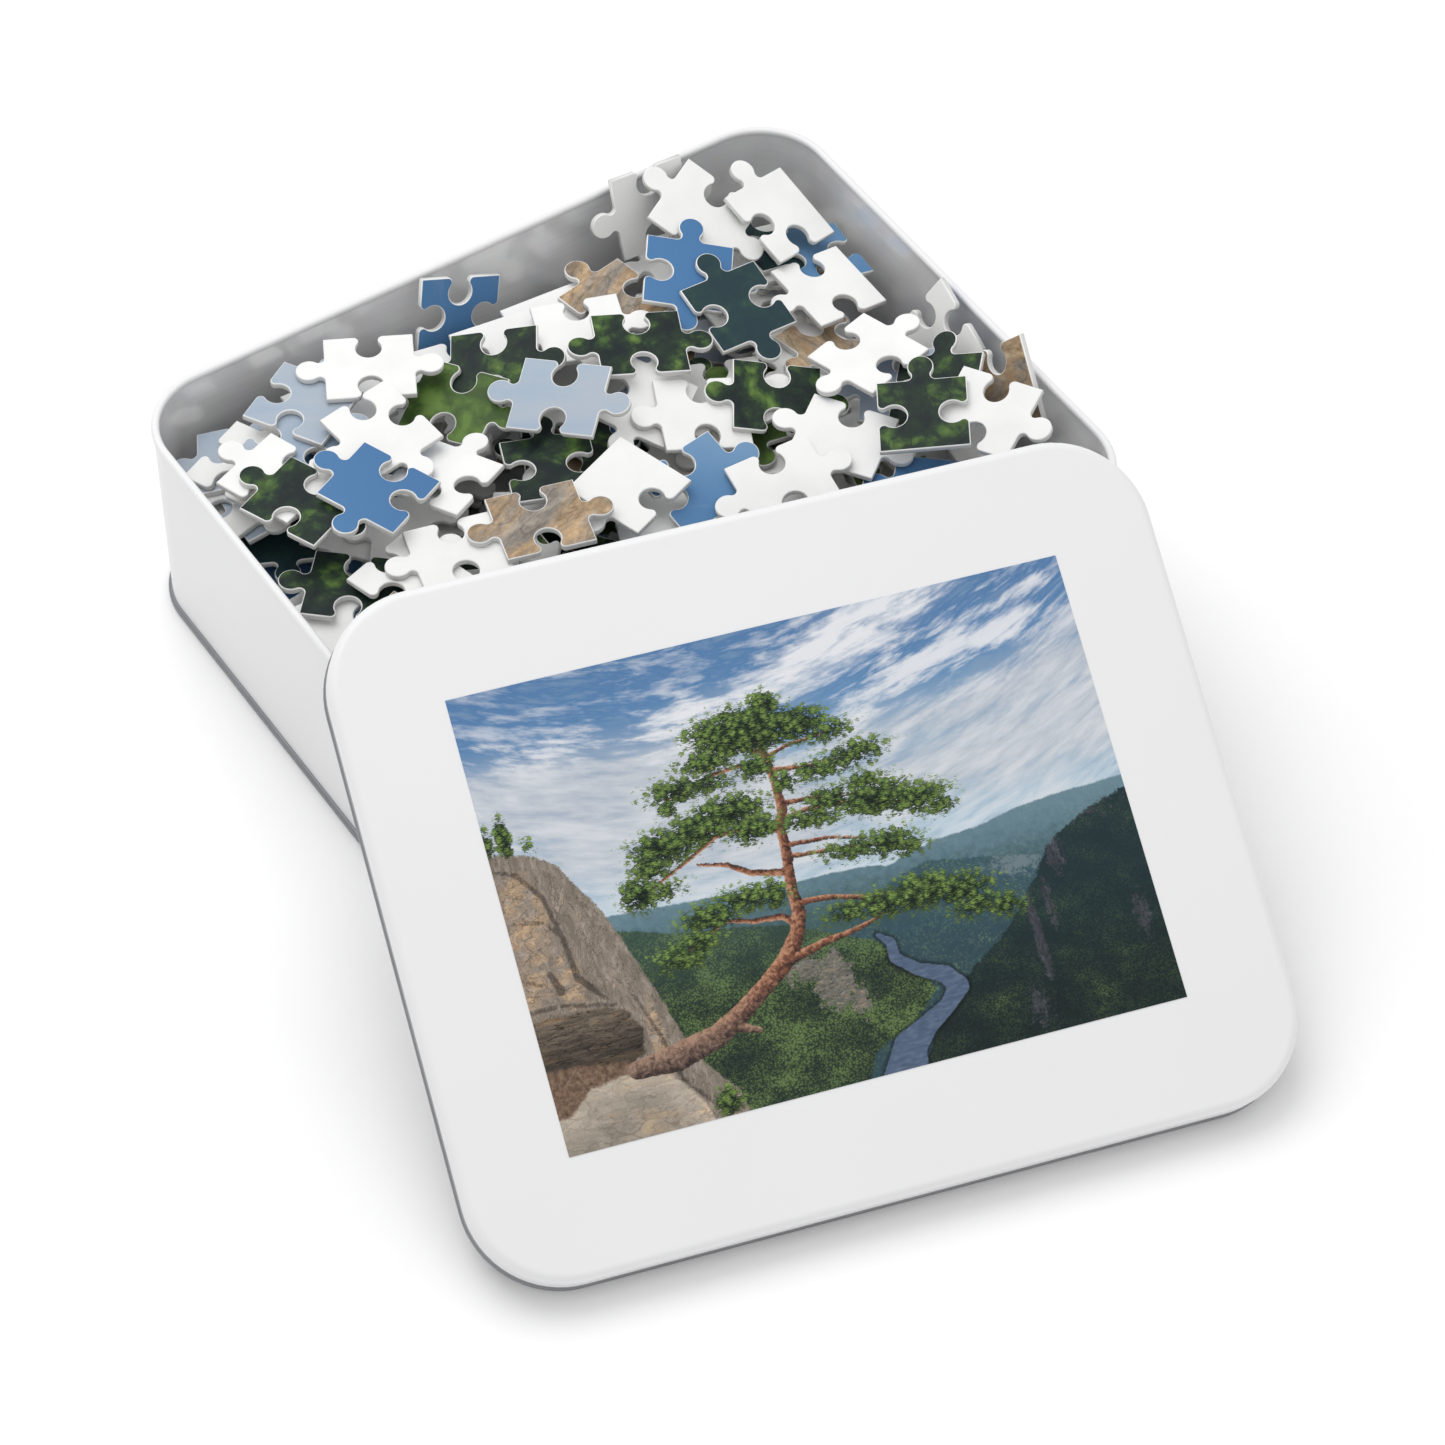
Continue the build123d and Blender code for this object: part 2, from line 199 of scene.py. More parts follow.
class Paint:
    """A material under construction, finished by cover()."""

    def __init__(self, name):
        self.material = bpy.data.materials.new(name)
        self.material.use_nodes = True
        self.tree = self.material.node_tree
        self.tree.nodes.clear()

    def node(self, kind, settings=(), inputs=(), output=0):
        """Add a node: its settings first, then the values or links of its sockets."""
        made = self.tree.nodes.new(kind)
        for key, value in dict(settings).items():
            if key == "stops":
                while len(made.color_ramp.elements) < len(value):
                    made.color_ramp.elements.new(1.0)
                for stop, (place, tone) in zip(made.color_ramp.elements, value):
                    stop.position = place
                    stop.color = (*tone, 1.0)
            else:
                setattr(made, key, value)
        for key, value in dict(inputs).items():
            if isinstance(value, Value):
                self.tree.links.new(value.socket, made.inputs[key])
            elif made.inputs[key].type == "RGBA" and len(value) == 3:
                made.inputs[key].default_value = (*value, 1.0)
            else:
                made.inputs[key].default_value = value
        return Value(self, made.outputs[output]) if made.outputs else None

    def maths(self, operation, *values):
        """Reckon with numbers."""
        return self.node("ShaderNodeMath", {"operation": operation}, dict(enumerate(values)))

    def place(self):
        """Give the place on the object, in metres."""
        return self.node("ShaderNodeTexCoord", output="Object")

    def sheet(self):
        """Give the place on the printed picture, from its lower left corner, in centimetres."""
        return self.node("ShaderNodeUVMap", {"uv_map": SHEET})

    def field(self, name):
        """Read a number that the piece's points carry."""
        return self.node("ShaderNodeAttribute", {"attribute_name": name}, output="Fac")

    def stretch(self, place, scale=(1, 1, 1), turn=0.0, move=(0, 0, 0)):
        """Stretch, turn and move a pattern."""
        settings = {"Location": move, "Rotation": (0, 0, turn), "Scale": scale}
        return self.node("ShaderNodeMapping", {}, {"Vector": place, **settings})

    def noise(self, place, scale, detail=3.0, roughness=0.5, distortion=0.0):
        """Give cloudy noise from 0 to 1."""
        inputs = {"Vector": place, "Scale": scale, "Detail": detail, "Roughness": roughness,
                  "Distortion": distortion}
        return self.node("ShaderNodeTexNoise", {}, inputs)

    def cells(self, place, scale, output="Distance"):
        """Part the surface into random cells."""
        return self.node("ShaderNodeTexVoronoi", {}, {"Vector": place, "Scale": scale}, output)

    def height(self, place):
        """Give how far up the picture a place is."""
        return self.node("ShaderNodeSeparateXYZ", {}, {"Vector": place}, "Y")

    def blend(self, share, first, second):
        """Mix two colours."""
        return self.node("ShaderNodeMix", {"data_type": "RGBA"}, {0: share, 6: first, 7: second}, 2)

    def tint(self, first, second, share=1.0):
        """Multiply two colours."""
        settings = {"data_type": "RGBA", "blend_type": "MULTIPLY"}
        return self.node("ShaderNodeMix", settings, {0: share, 6: first, 7: second}, 2)

    def grey(self, value):
        """Make a plain grey of a number."""
        return self.node("ShaderNodeCombineColor", {}, {0: value, 1: value, 2: value})

    def step(self, value, low, high, first=0.0, last=1.0):
        """Rise smoothly from first to last while a value passes from low to high."""
        inputs = {"Value": value, "From Min": low, "From Max": high, "To Min": first, "To Max": last}
        return self.node("ShaderNodeMapRange", {"interpolation_type": "SMOOTHSTEP"}, inputs)

    def ramp(self, value, *stops):
        """Turn a number into a colour."""
        return self.node("ShaderNodeValToRGB", {"stops": stops}, {"Fac": value})

    def bump(self, height, depth, strength):
        """Raise a fine relief, its depth in metres."""
        return self.node("ShaderNodeBump", {}, {"Height": height, "Distance": depth, "Strength": strength})

    def cover(self, **sockets):
        """Finish the material with the surface's own sockets, written with _ for a space."""
        inputs = {key.replace("_", " "): value for key, value in sockets.items()}
        surface = self.node("ShaderNodeBsdfPrincipled", {}, inputs)
        self.node("ShaderNodeOutputMaterial", {}, {"Surface": surface})
        return self.material


# ------------------------------------------------------------------ mesh tools


def copy_of(node, name):
    """Copy a node's mesh into a new piece with its doubles merged."""
    mesh = bpy.data.meshes.new(name)
    shape = bmesh.new()
    shape.from_mesh(NODES[node].data)
    bmesh.ops.remove_doubles(shape, verts=shape.verts, dist=MERGE_WITHIN)
    return shape, mesh


def settle_piece(shape, mesh, node, materials):
    """Turn a finished shape into a piece that stands for a node and rides with its body."""
    shape.to_mesh(mesh)
    shape.free()
    piece = bpy.data.objects.new(mesh.name, mesh)
    bpy.context.scene.collection.objects.link(piece)
    for material in materials:
        mesh.materials.append(material)
    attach(piece, BODY_OF[node])
    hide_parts(node)
    return piece


def smooth(piece):
    """Shade a piece smoothly except over its creases, with its flats kept flat."""
    for face in piece.data.polygons:
        face.use_smooth = True
    piece.data.set_sharp_from_angle(angle=CREASE)
    weighted = piece.modifiers.new("Even shading", "WEIGHTED_NORMAL")
    weighted.keep_sharp = True


# ------------------------------------------------------------------ metal finishes


def enamel_material(settings):
    """White enamel over tinplate: faint orange peel and a slightly uneven gloss."""
    paint = Paint("White enamel")
    place = paint.place()
    peel = paint.noise(place, 900, 2)
    cloudy = paint.noise(place, 24, 4)
    tone = paint.blend(cloudy, settings.enamel, tuple(c * 0.975 for c in settings.enamel))
    gloss = settings.enamel_roughness + (cloudy - 0.5) * 0.12
    return paint.cover(Base_Color=tone, Roughness=gloss, Normal=paint.bump(peel, 0.00002, 0.25), IOR=1.5)


def tinplate_material(settings):
    """Bare tinplate inside the tin and the lid: rolled streaks, faint spangle and a soft gloss."""
    paint = Paint("Bare tinplate")
    place = paint.place()
    streaks = paint.noise(paint.stretch(place, (4, 4, 60)), 12, 5, 0.6)
    spangle = paint.cells(place, 170, output="Color")
    metal = paint.tint(settings.tinplate, paint.grey(paint.step(streaks, 0.3, 0.7, 0.95, 1.0)))
    return paint.cover(
        Base_Color=paint.tint(metal, spangle, 0.03), Metallic=0.1, Roughness=0.08 + streaks * 0.12, IOR=2.0,
        Normal=paint.bump(streaks, 0.00001, 0.1))


def bare_metal_material(metal, name):
    """Dull bare tinplate with drawing marks and a little staining."""
    paint = Paint(name)
    place = paint.place()
    marks = paint.noise(paint.stretch(place, (1, 1, 30)), 120, 4)
    stain = paint.noise(place, 60, 3)
    tone = paint.blend(stain, metal, tuple(c * 0.7 for c in metal))
    return paint.cover(Base_Color=tone, Metallic=0.55, Roughness=0.34 + marks * 0.16,
                       Normal=paint.bump(marks, 0.00002, 0.4))


# ------------------------------------------------------------------ printed finishes


def sky_print(paint, sheet, settings):
    """Blue sky, paler towards the horizon, in centimetres of the lid's picture."""
    up = paint.height(sheet)
    drift = paint.noise(sheet, 0.6, 3) * 1.2
    return paint.ramp(paint.step(up + drift, 5.4, 13.6), (0.0, settings.sky_low), (0.45, rgb(134, 165, 192)),
                      (0.75, rgb(84, 128, 172)), (1.0, settings.sky_high))


def wisps(paint, sheet):
    """High cloud combed into bowed streaks by the wind, from 0 to 1."""
    along = paint.node("ShaderNodeSeparateXYZ", {}, {"Vector": sheet}, "X")
    off = along - 7.1
    bowed = paint.height(sheet) - off * off * 0.026
    combed = paint.node("ShaderNodeCombineXYZ", {}, {"X": along * 0.42, "Y": bowed * 1.7})
    streaks = paint.noise(combed, 0.9, 8, 0.62, 0.35)
    puffs = paint.noise(combed, 2.6, 6, 0.6)
    return streaks * 0.66 + puffs * 0.34


def crowns(paint, sheet, scale):
    """Tree crowns or tufts: light on the upper side of each, and dark between them."""
    ball = paint.cells(sheet, scale)
    ragged = paint.noise(sheet, scale * 3.2, 3, 0.6)
    up = paint.height(sheet)
    middle_up = paint.height(paint.cells(sheet, scale, output="Position"))
    lit = (up - middle_up) * scale * 0.55
    return 0.92 - ball * 0.95 + lit * 0.5 + (ragged - 0.5) * 0.75


def forest_print(paint, sheet, settings, scale=9.0, dark=0.0, relief=1.0):
    """Forest in three greens, in sunlit and shaded stretches."""
    stretches = paint.noise(paint.stretch(sheet, (1, 1.5, 1), 0.6), 0.8, 5, 0.6)
    light = (crowns(paint, sheet, scale) - 0.5) * relief + 0.5 + (stretches - 0.5) * 1.5 - dark
    middle = tuple(0.5 * a + 0.22 * b for a, b in zip(settings.crown_dark, settings.crown_light))
    return paint.ramp(light, (0.18, tuple(c * 0.6 for c in settings.crown_dark)), (0.42, settings.crown_dark),
                      (0.7, middle), (1.0, settings.crown_light))


def rock_print(paint, sheet, settings, scale=1.0, stretch=(1, 1, 1), turn=0.0, warm=0.0, cracked=1.0):
    """Weathered rock: warm and grey stretches, grain, bedding and dark cracks."""
    bedded = paint.stretch(sheet, stretch, turn)
    wander = paint.noise(bedded, 0.9 * scale, 7, 0.66, 0.9)
    beds = paint.noise(bedded, 2.1 * scale, 6, 0.6, 0.5)
    joints = paint.noise(paint.stretch(sheet, stretch, turn, (3.7, 1.9, 0)), 1.1 * scale, 3, 0.5, 0.3)
    grain = paint.noise(sheet, 13 * scale, 4, 0.7)
    tone = paint.ramp(wander + warm, (0.2, tuple(c * 0.32 for c in settings.stone)),
                      (0.42, tuple(c * 0.7 for c in settings.stone)), (0.55, settings.stone),
                      (0.7, settings.stone_warm), (0.86, rgb(206, 194, 172)))
    crack = paint.step(paint.maths("ABSOLUTE", beds - 0.5), 0.0, 0.03, 1.0 - 0.5 * cracked, 1.0)
    gap = paint.step(paint.maths("ABSOLUTE", joints - 0.5), 0.0, 0.02, 1.0 - 0.7 * cracked, 1.0)
    shade = crack * gap * paint.step(grain, 0.25, 0.75, 0.74, 1.16) * paint.step(beds, 0.3, 0.7, 0.72, 1.2)
    return paint.tint(tone, paint.grey(shade))


def needle_print(paint, sheet, settings):
    """Pine foliage: tufts that are light above and dark below, of crossing strokes."""
    first = paint.noise(paint.stretch(sheet, (1.0, 4.5, 1), 0.75), 8, 3, 0.65, 0.4)
    second = paint.noise(paint.stretch(sheet, (1.0, 4.5, 1), -0.8), 8, 3, 0.65, 0.4)
    strokes = paint.maths("MAXIMUM", first, second)
    light = crowns(paint, sheet, 5.4) * 0.7 + (strokes - 0.47) * 2.1 - 0.07
    middle = tuple(0.5 * c for c in settings.needles)
    return paint.ramp(light, (0.08, rgb(20, 30, 24)), (0.34, rgb(40, 60, 36)), (0.58, middle),
                      (0.95, settings.needles)), light


def soft_forest_print(paint, sheet, settings, dark):
    """A few enlarged tree crowns, out of focus."""
    clumps = paint.noise(sheet, 3.4, 3, 0.55, 0.4)
    leaves = paint.noise(sheet, 16, 3, 0.6)
    light = clumps + (crowns(paint, sheet, 6.5) - 0.5) * 0.22 + (leaves - 0.5) * 0.16 - dark
    return paint.ramp(light, (0.32, rgb(28, 37, 38)), (0.5, rgb(38, 54, 42)), (0.6, rgb(62, 86, 46)),
                      (0.74, rgb(96, 124, 62)))


def print_finish(paint, tone, sheet):
    """Ink on linen-embossed paper under a thin varnish."""
    weave = paint.node("ShaderNodeTexWave", {"bands_direction": "X"},
                       {"Vector": sheet, "Scale": 5.0, "Distortion": 0.6})
    cross = paint.node("ShaderNodeTexWave", {"bands_direction": "Y"},
                       {"Vector": sheet, "Scale": 5.0, "Distortion": 0.6})
    scuffs = paint.noise(sheet, 2.0, 4)
    return paint.cover(Base_Color=tone, Roughness=0.4 + scuffs * 0.16, Specular_IOR_Level=0.16,
                       Normal=paint.bump(weave * cross, 0.00003, 0.2))


def piece_print_material(kind, settings):
    """One print of the puzzle's picture, as it shows on loose pieces."""
    paint = Paint(f"{kind} print")
    sheet = paint.sheet()
    if kind in ("Sky", "Cloud"):
        tone = sky_print(paint, sheet, settings)
        cover = (0.52, 0.85) if kind == "Sky" else (0.3, 0.6)
        tone = paint.blend(paint.step(wisps(paint, sheet), *cover, 0.0, 0.85), tone, rgb(172, 180, 190))
        if kind == "Cloud":
            tone = paint.blend(0.5, tone, rgb(168, 177, 188))
    elif kind == "Forest":
        tone = soft_forest_print(paint, sheet, settings, 0.02)
    elif kind == "DarkForest":
        tone = paint.blend(0.62, soft_forest_print(paint, sheet, settings, 0.1), rgb(42, 68, 76))
    elif kind == "Foliage":
        tone = paint.blend(0.35, soft_forest_print(paint, sheet, settings, -0.1), rgb(98, 128, 56))
    else:
        tone = rock_print(paint, sheet, settings, 1.1, (0.8, 2.2, 1), 0.5, 0.15, 0.4)
    return print_finish(paint, tone, sheet)


def back_material(settings):
    """White paper on the back of the board, with faint fibres and handling marks."""
    paint = Paint("White board back")
    place = paint.place()
    fibres = paint.noise(place, 1400, 3, 0.6)
    marks = paint.noise(place, 70, 4)
    tone = paint.blend(paint.step(marks, 0.35, 0.75), settings.back, tuple(c * 0.94 for c in settings.back))
    return paint.cover(Base_Color=tone, Roughness=0.78 + fibres * 0.12,
                       Normal=paint.bump(fibres, 0.00005, 0.35))


def board_edge_material(settings):
    """Die-cut edge of grey-white board, fuzzy and layered."""
    paint = Paint("Cut board edge")
    place = paint.place()
    fuzz = paint.noise(place, 1900, 4, 0.7)
    tone = paint.blend(fuzz, settings.edge, tuple(c * 0.72 for c in settings.edge))
    return paint.cover(Base_Color=tone, Roughness=0.9, Normal=paint.bump(fuzz, 0.00012, 0.6))


# ------------------------------------------------------------------ the picture's drawing

# Outlines in parts of the picture's width and height, from its lower left corner
CLIFF = ((-0.1, 0.655), (0.03, 0.65), (0.07, 0.63), (0.1, 0.6), (0.12, 0.55), (0.15, 0.48), (0.175, 0.38),
         (0.2, 0.28), (0.215, 0.2), (0.24, 0.12), (0.28, 0.05), (0.3, -0.1), (-0.1, -0.1))
LEFT_SLOPE = ((-0.1, 0.47), (0.15, 0.44), (0.25, 0.4), (0.35, 0.38), (0.42, 0.36), (0.5, 0.31), (0.55, 0.28),
              (0.6, 0.2), (0.62, 0.15), (0.58, 0.1), (0.5, 0.05), (0.45, -0.1), (-0.1, -0.1))
RIGHT_SLOPE = ((0.56, -0.1), (0.58, 0.02), (0.62, 0.1), (0.68, 0.17), (0.74, 0.22), (0.78, 0.27),
               (0.82, 0.33), (0.85, 0.385), (0.87, 0.405), (0.92, 0.44), (1.0, 0.475), (1.1, 0.48),
               (1.1, -0.1))
MIDDLE_RIDGE = ((0.5, 0.31), (0.55, 0.36), (0.6, 0.4), (0.66, 0.42), (0.75, 0.4), (0.85, 0.37), (1.1, 0.3),
                (1.1, -0.1), (0.4, -0.1))
FAR_RIDGE = ((-0.1, 0.47), (0.15, 0.47), (0.25, 0.462), (0.33, 0.455), (0.4, 0.44), (0.5, 0.445),
             (0.57, 0.44), (0.6, 0.43), (0.68, 0.46), (0.75, 0.465), (0.82, 0.485), (0.9, 0.495),
             (1.1, 0.503), (1.1, -0.1), (-0.1, -0.1))
BOULDER = ((-0.1, 0.16), (0.04, 0.165), (0.12, 0.15), (0.155, 0.17), (0.162, 0.22), (0.145, 0.27),
           (0.11, 0.288), (0.02, 0.29), (-0.1, 0.275))
FRONT_BOULDER = ((-0.1, 0.06), (0.02, 0.08), (0.06, 0.125), (0.12, 0.138), (0.17, 0.13), (0.2, 0.09),
                 (0.225, 0.04), (0.25, -0.1), (-0.1, -0.1))
SOIL = ((-0.1, 0.06), (0.08, 0.07), (0.15, 0.11), (0.13, 0.16), (0.05, 0.18), (-0.1, 0.18))
# Lines with their half width at each point
RIVER = ((0.553, 0.292, 0.003), (0.57, 0.27, 0.008), (0.57, 0.235, 0.009), (0.6, 0.2, 0.01),
         (0.64, 0.175, 0.014), (0.655, 0.145, 0.016), (0.63, 0.11, 0.012), (0.59, 0.08, 0.016),
         (0.555, 0.045, 0.026), (0.535, -0.02, 0.036))
LIMBS = (
    ((0.135, 0.14, 0.014), (0.2, 0.145, 0.021), (0.27, 0.168, 0.018), (0.31, 0.198, 0.015),
     (0.36, 0.243, 0.013), (0.4, 0.283, 0.014), (0.43, 0.33, 0.012), (0.445, 0.38, 0.0105),
     (0.443, 0.43, 0.009), (0.452, 0.53, 0.008), (0.452, 0.57, 0.008), (0.463, 0.6, 0.008),
     (0.463, 0.66, 0.0065), (0.462, 0.72, 0.005), (0.45, 0.77, 0.003)),
    ((0.41, 0.285, 0.008), (0.47, 0.305, 0.006), (0.525, 0.315, 0.004), (0.58, 0.335, 0.002)),
    ((0.295, 0.18, 0.008), (0.335, 0.158, 0.005)),
    ((0.45, 0.4, 0.005), (0.5, 0.395, 0.004), (0.57, 0.37, 0.0035), (0.66, 0.36, 0.002)),
    ((0.44, 0.35, 0.006), (0.418, 0.38, 0.005), (0.37, 0.385, 0.004), (0.33, 0.4, 0.003),
     (0.24, 0.345, 0.002)),
    ((0.44, 0.47, 0.006), (0.39, 0.485, 0.005), (0.355, 0.515, 0.004), (0.31, 0.53, 0.002)),
    ((0.447, 0.565, 0.006), (0.41, 0.585, 0.005), (0.35, 0.58, 0.004), (0.3, 0.545, 0.003),
     (0.21, 0.49, 0.002)),
    ((0.46, 0.5, 0.004), (0.5, 0.495, 0.003), (0.55, 0.49, 0.003), (0.64, 0.465, 0.002)),
    ((0.46, 0.525, 0.004), (0.52, 0.52, 0.003), (0.58, 0.5, 0.002)),
    ((0.455, 0.58, 0.004), (0.5, 0.59, 0.004), (0.56, 0.585, 0.003), (0.7, 0.545, 0.002)),
    ((0.47, 0.615, 0.004), (0.52, 0.61, 0.003), (0.6, 0.595, 0.002)),
    ((0.46, 0.69, 0.004), (0.42, 0.715, 0.003), (0.37, 0.71, 0.003), (0.29, 0.68, 0.002)),
    ((0.465, 0.69, 0.004), (0.52, 0.68, 0.003), (0.61, 0.68, 0.002)),
    ((0.462, 0.72, 0.003), (0.5, 0.735, 0.003), (0.56, 0.74, 0.002)),
    ((0.462, 0.72, 0.004), (0.43, 0.755, 0.003), (0.38, 0.78, 0.002)),
)
# Lines of the bright, the thin and the low banks of cloud
BANKS = (
    (((0.3, 0.84, 0.01), (0.5, 0.86, 0.025), (0.6, 0.92, 0.035), (0.75, 1.0, 0.035), (0.84, 1.06, 0.03)),
     ((0.23, 0.99, -0.025), (0.26, 0.96, -0.02), (0.3, 0.95, -0.025))),
    (((0.58, 0.76, 0.01), (0.72, 0.83, 0.014), (0.93, 0.9, 0.01)),
     ((0.0, 0.86, -0.01), (0.2, 0.83, 0.0), (0.4, 0.8, 0.02)),
     ((0.86, 0.92, 0.005), (0.95, 0.95, 0.005))),
    (((-0.05, 0.76, 0.06), (0.2, 0.7, 0.1), (0.35, 0.68, 0.1), (0.5, 0.62, 0.06)),
     ((0.1, 0.62, 0.05), (0.3, 0.56, 0.06), (0.5, 0.55, 0.05)),
     ((0.56, 0.72, 0.02), (0.8, 0.71, 0.04), (1.05, 0.79, 0.06)),
     ((0.58, 0.6, 0.05), (0.8, 0.62, 0.06), (1.05, 0.66, 0.08))),
)
# Middle, half width and half height of each tuft and patch
TUFTS = ((0.44, 0.785, 0.09, 0.05), (0.39, 0.8, 0.045, 0.028), (0.478, 0.83, 0.025, 0.03),
         (0.42, 0.825, 0.02, 0.02), (0.52, 0.775, 0.05, 0.035), (0.565, 0.745, 0.035, 0.02),
         (0.37, 0.74, 0.045, 0.025), (0.31, 0.695, 0.045, 0.025), (0.29, 0.665, 0.015, 0.02),
         (0.35, 0.695, 0.05, 0.02), (0.44, 0.705, 0.03, 0.025), (0.6, 0.685, 0.045, 0.025),
         (0.545, 0.67, 0.05, 0.02), (0.48, 0.66, 0.02, 0.02), (0.38, 0.625, 0.06, 0.035),
         (0.33, 0.605, 0.055, 0.035), (0.27, 0.585, 0.055, 0.035), (0.24, 0.55, 0.03, 0.03),
         (0.21, 0.5, 0.03, 0.035), (0.25, 0.495, 0.025, 0.015), (0.41, 0.58, 0.04, 0.03),
         (0.54, 0.6, 0.04, 0.025), (0.61, 0.58, 0.06, 0.035), (0.67, 0.56, 0.05, 0.03),
         (0.705, 0.535, 0.025, 0.02), (0.6, 0.62, 0.03, 0.02), (0.5, 0.57, 0.05, 0.02),
         (0.56, 0.485, 0.05, 0.02), (0.61, 0.48, 0.04, 0.028), (0.64, 0.465, 0.025, 0.02),
         (0.37, 0.435, 0.05, 0.025), (0.31, 0.415, 0.045, 0.028), (0.415, 0.43, 0.02, 0.03),
         (0.25, 0.345, 0.035, 0.025), (0.28, 0.37, 0.03, 0.02), (0.52, 0.355, 0.035, 0.02),
         (0.58, 0.355, 0.045, 0.028), (0.64, 0.36, 0.06, 0.035), (0.7, 0.345, 0.05, 0.03),
         (0.72, 0.305, 0.04, 0.022), (0.765, 0.29, 0.025, 0.022), (0.03, 0.685, 0.012, 0.045),
         (0.0, 0.68, 0.015, 0.03), (0.063, 0.655, 0.006, 0.012), (0.26, 0.03, 0.02, 0.03))
LEFT_ROCKS = ((0.47, 0.22, 0.03, 0.06), (0.43, 0.26, 0.03, 0.025), (0.5, 0.17, 0.015, 0.03))
RIGHT_ROCKS = ((0.86, 0.38, 0.012, 0.05), (0.9, 0.45, 0.03, 0.012), (0.8, 0.2, 0.008, 0.1),
               (0.77, 0.06, 0.012, 0.03), (0.97, 0.2, 0.01, 0.04), (0.83, 0.27, 0.006, 0.05))
MIDDLE_ROCKS = ((0.8, 0.37, 0.04, 0.02), (0.6, 0.42, 0.02, 0.012))
# Cracks in the cliff, as lines with their half widths
CLEFTS = (
    ((0.0, 0.62, 0.001), (0.035, 0.6, 0.003), (0.065, 0.54, 0.003), (0.078, 0.45, 0.003),
     (0.085, 0.36, 0.005), (0.12, 0.3, 0.002)),
    ((0.01, 0.5, 0.001), (0.055, 0.49, 0.002), (0.078, 0.45, 0.001)),
    ((0.045, 0.38, 0.004), (0.055, 0.34, 0.006)),
    ((-0.02, 0.31, 0.003), (0.05, 0.31, 0.002), (0.13, 0.285, 0.002)),
    ((0.0, 0.38, 0.001), (0.03, 0.36, 0.002)),
    ((0.16, 0.3, 0.001), (0.185, 0.2, 0.002), (0.2, 0.1, 0.002), (0.24, 0.03, 0.002)),
)
WARM_FACES = ((0.03, 0.5, 0.035, 0.1), (0.07, 0.36, 0.02, 0.06), (0.0, 0.36, 0.04, 0.05),
              (0.18, 0.18, 0.012, 0.1))


def line_reach(spots, size, path):
    """Give each spot's distance from a line of changing width, below zero within it."""
    nearest = np.full(len(spots), 1e9)
    side = np.zeros(len(spots))
    for (ax, ay, aw), (bx, by, bw) in zip(path, path[1:]):
        start, run = np.array((ax, ay)) * size, np.array((bx - ax, by - ay)) * size
        away = spots - start
        along = np.clip(away @ run / (run @ run), 0, 1)
        off = away - along[:, None] * run
        width = (aw + (bw - aw) * along) * size[0]
        reach = np.hypot(*off.T) - width
        across = (away[:, 1] * run[0] - away[:, 0] * run[1]) / math.sqrt(run @ run) / np.maximum(width, 0.01)
        side = np.where(reach < nearest, across, side)
        nearest = np.minimum(nearest, reach)
    return nearest, side


def outline_reach(spots, size, outline):
    """Give each spot's distance from an outline, below zero within it."""
    corners = np.array(outline) * size
    nearest = np.full(len(spots), 1e9)
    within = np.zeros(len(spots), bool)
    for start, end in zip(corners, np.roll(corners, -1, 0)):
        run, away = end - start, spots - start
        along = np.clip(away @ run / (run @ run), 0, 1)
        nearest = np.minimum(nearest, np.hypot(*(away - along[:, None] * run).T))
        straddles = (start[1] > spots[:, 1]) != (end[1] > spots[:, 1])
        rise = np.where(abs(run[1]) < 1e-9, 1e-9, run[1])
        within ^= straddles & (spots[:, 0] < start[0] + (spots[:, 1] - start[1]) * run[0] / rise)
    return np.where(within, -nearest, nearest)


def patch_reach(spots, size, patches):
    """Give each spot's rough distance from a group of ovals, and how high it is in the nearest one."""
    nearest = np.full(len(spots), 1e9)
    height = np.zeros(len(spots))
    for x, y, half_wide, half_high in patches:
        off = (spots - np.array((x, y)) * size) / (np.array((half_wide, half_high)) * size)
        reach = (np.hypot(*off.T) - 1) * half_high * size[1]
        height = np.where(reach < nearest, off[:, 1], height)
        nearest = np.minimum(nearest, reach)
    return nearest, height


def picture_fields(spots, size):
    """Work out what the picture's material reads at each spot, in centimetres."""
    limb, limb_side = zip(*(line_reach(spots, size, path) for path in LIMBS))
    nearest = np.argmin(limb, 0)
    tuft, tuft_height = patch_reach(spots, size, TUFTS)
    fields = {
        "cliff": outline_reach(spots, size, CLIFF), "left_slope": outline_reach(spots, size, LEFT_SLOPE),
        "right_slope": outline_reach(spots, size, RIGHT_SLOPE),
        "middle_ridge": outline_reach(spots, size, MIDDLE_RIDGE),
        "far_ridge": outline_reach(spots, size, FAR_RIDGE), "boulder": outline_reach(spots, size, BOULDER),
        "front_boulder": outline_reach(spots, size, FRONT_BOULDER), "soil": outline_reach(spots, size, SOIL),
        "river": line_reach(spots, size, RIVER)[0], "limb": np.min(limb, 0),
        "limb_side": np.take_along_axis(np.array(limb_side), nearest[None], 0)[0], "tuft": tuft,
        "tuft_height": tuft_height, "left_rocks": patch_reach(spots, size, LEFT_ROCKS)[0],
        "right_rocks": patch_reach(spots, size, RIGHT_ROCKS)[0],
        "middle_rocks": patch_reach(spots, size, MIDDLE_ROCKS)[0],
        "warm_faces": patch_reach(spots, size, WARM_FACES)[0],
    }
    for name, lines in zip(("clefts", "bright_bank", "thin_bank", "low_bank"), (CLEFTS, *BANKS)):
        fields[name] = np.min([line_reach(spots, size, line)[0] for line in lines], 0)
    return fields


